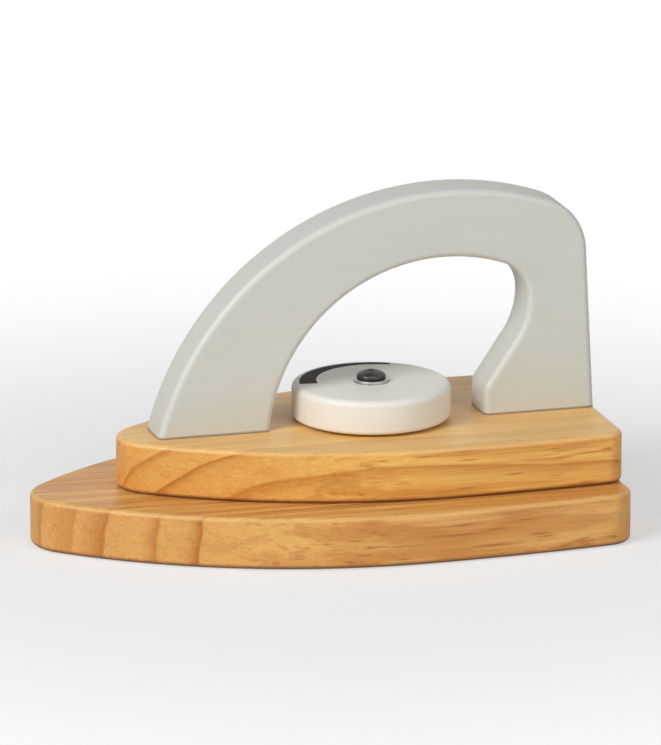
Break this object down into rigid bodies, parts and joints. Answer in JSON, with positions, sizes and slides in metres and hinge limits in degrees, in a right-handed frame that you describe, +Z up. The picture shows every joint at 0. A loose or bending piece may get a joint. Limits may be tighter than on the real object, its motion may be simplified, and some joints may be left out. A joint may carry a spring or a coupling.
{
  "type": "toy iron",
  "caption": "Wooden toy iron: stacked iron-shaped pine plates, a painted arch handle with an open grip, and a round dial that turns on a screw between the handle's feet.",
  "frame": {"origin": "on the underside of the sole, under the middle of its length and width", "axes": "+X towards the back edge (the nose points along -X), +Z up; the plane Y = 0 is the plane of symmetry"},
  "size_m": [0.138, 0.083, 0.081],
  "materials": {
    "pine": "clear matt lacquer",
    "grey_paint": "satin light-grey paint",
    "cream_paint": "satin cream paint with a printed arc",
    "dark_steel": "blackened steel",
    "zinc_steel": "zinc plated",
    "brass": "plain",
    "beech": "plain"
  },
  "bodies": {
    "iron_body": {"sole_plate": "pine", "top_plate": "pine", "handle": "grey_paint", "dial_screw": "dark_steel", "dial_head_washer": "zinc_steel", "dial_base_washer": "brass", "front_handle_screw": "zinc_steel", "rear_handle_screw": "zinc_steel", "front_plate_dowel": "beech", "rear_plate_dowel": "beech"},
    "dial_body": {"dial": "cream_paint"}
  },
  "joints": [
    {"name": "dial_turn", "type": "hinge", "parent": "iron_body", "child": "dial_body", "pos_m": [0.0145, 0, 0.02983], "axis": [0, 0, 1], "continuous": true}
  ]
}
